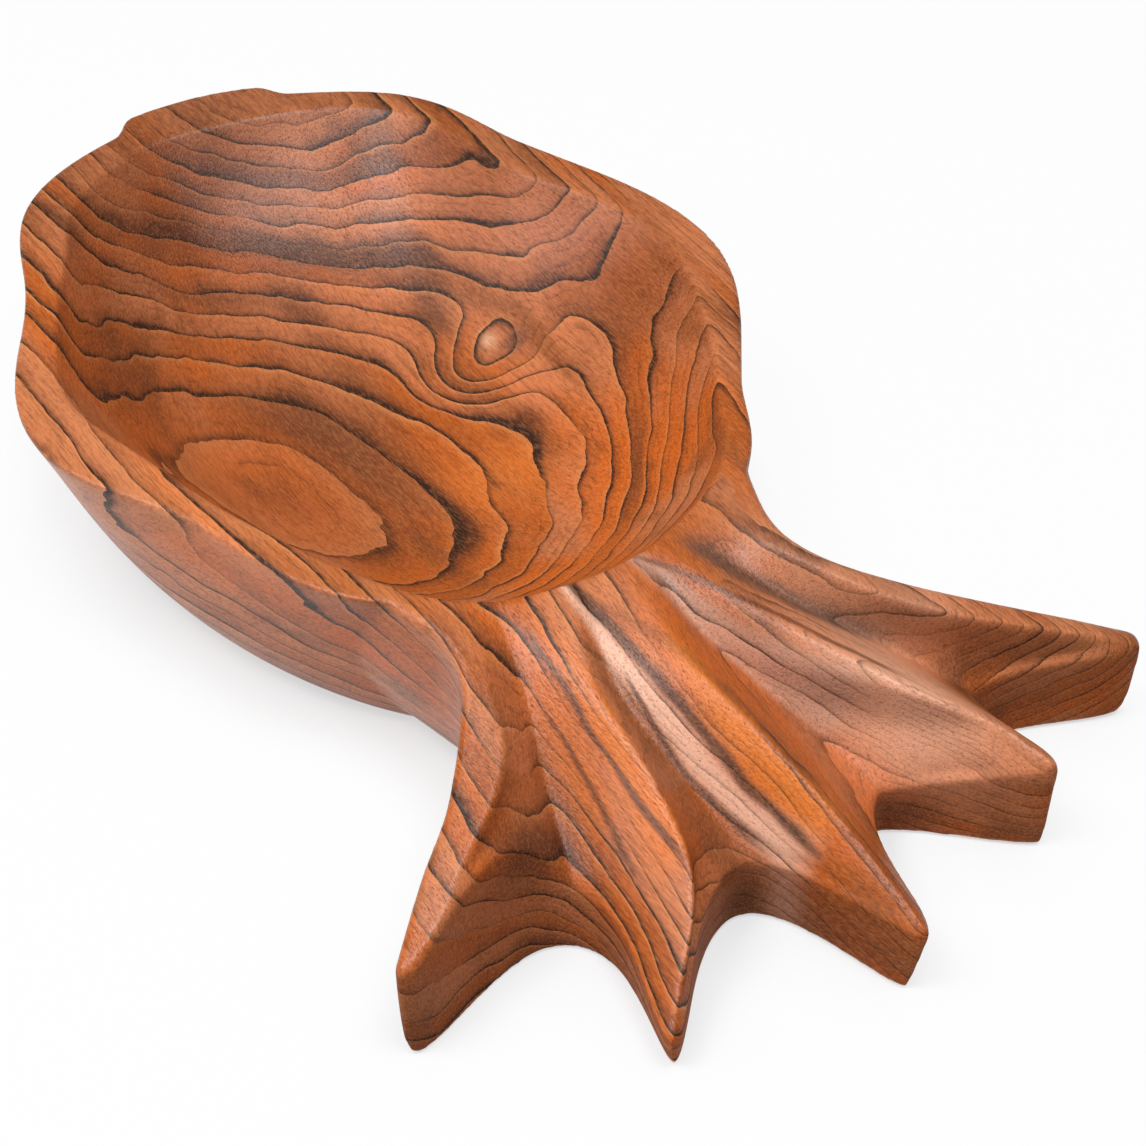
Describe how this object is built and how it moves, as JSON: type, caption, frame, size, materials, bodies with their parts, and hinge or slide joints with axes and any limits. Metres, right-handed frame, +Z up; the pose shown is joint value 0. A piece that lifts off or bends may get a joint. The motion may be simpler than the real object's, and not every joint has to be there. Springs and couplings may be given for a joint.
{
  "type": "serving bowl",
  "caption": "Shallow wooden serving bowl carved from one block as a pineapple on its side: a lobed oval hollow with a fan of pointed leaves as its handle end.",
  "frame": {"origin": "under the middle of the bowl's box, on the surface that it rests on", "axes": "+X from the round body along the fan of leaves, +Z up out of the hollow"},
  "size_m": [0.2982, 0.1748, 0.046],
  "materials": {
    "wood": "hand-rubbed satin oil finish over strongly figured teak"
  },
  "bodies": {
    "root": {"carved_bowl": "wood"}
  },
  "joints": []
}
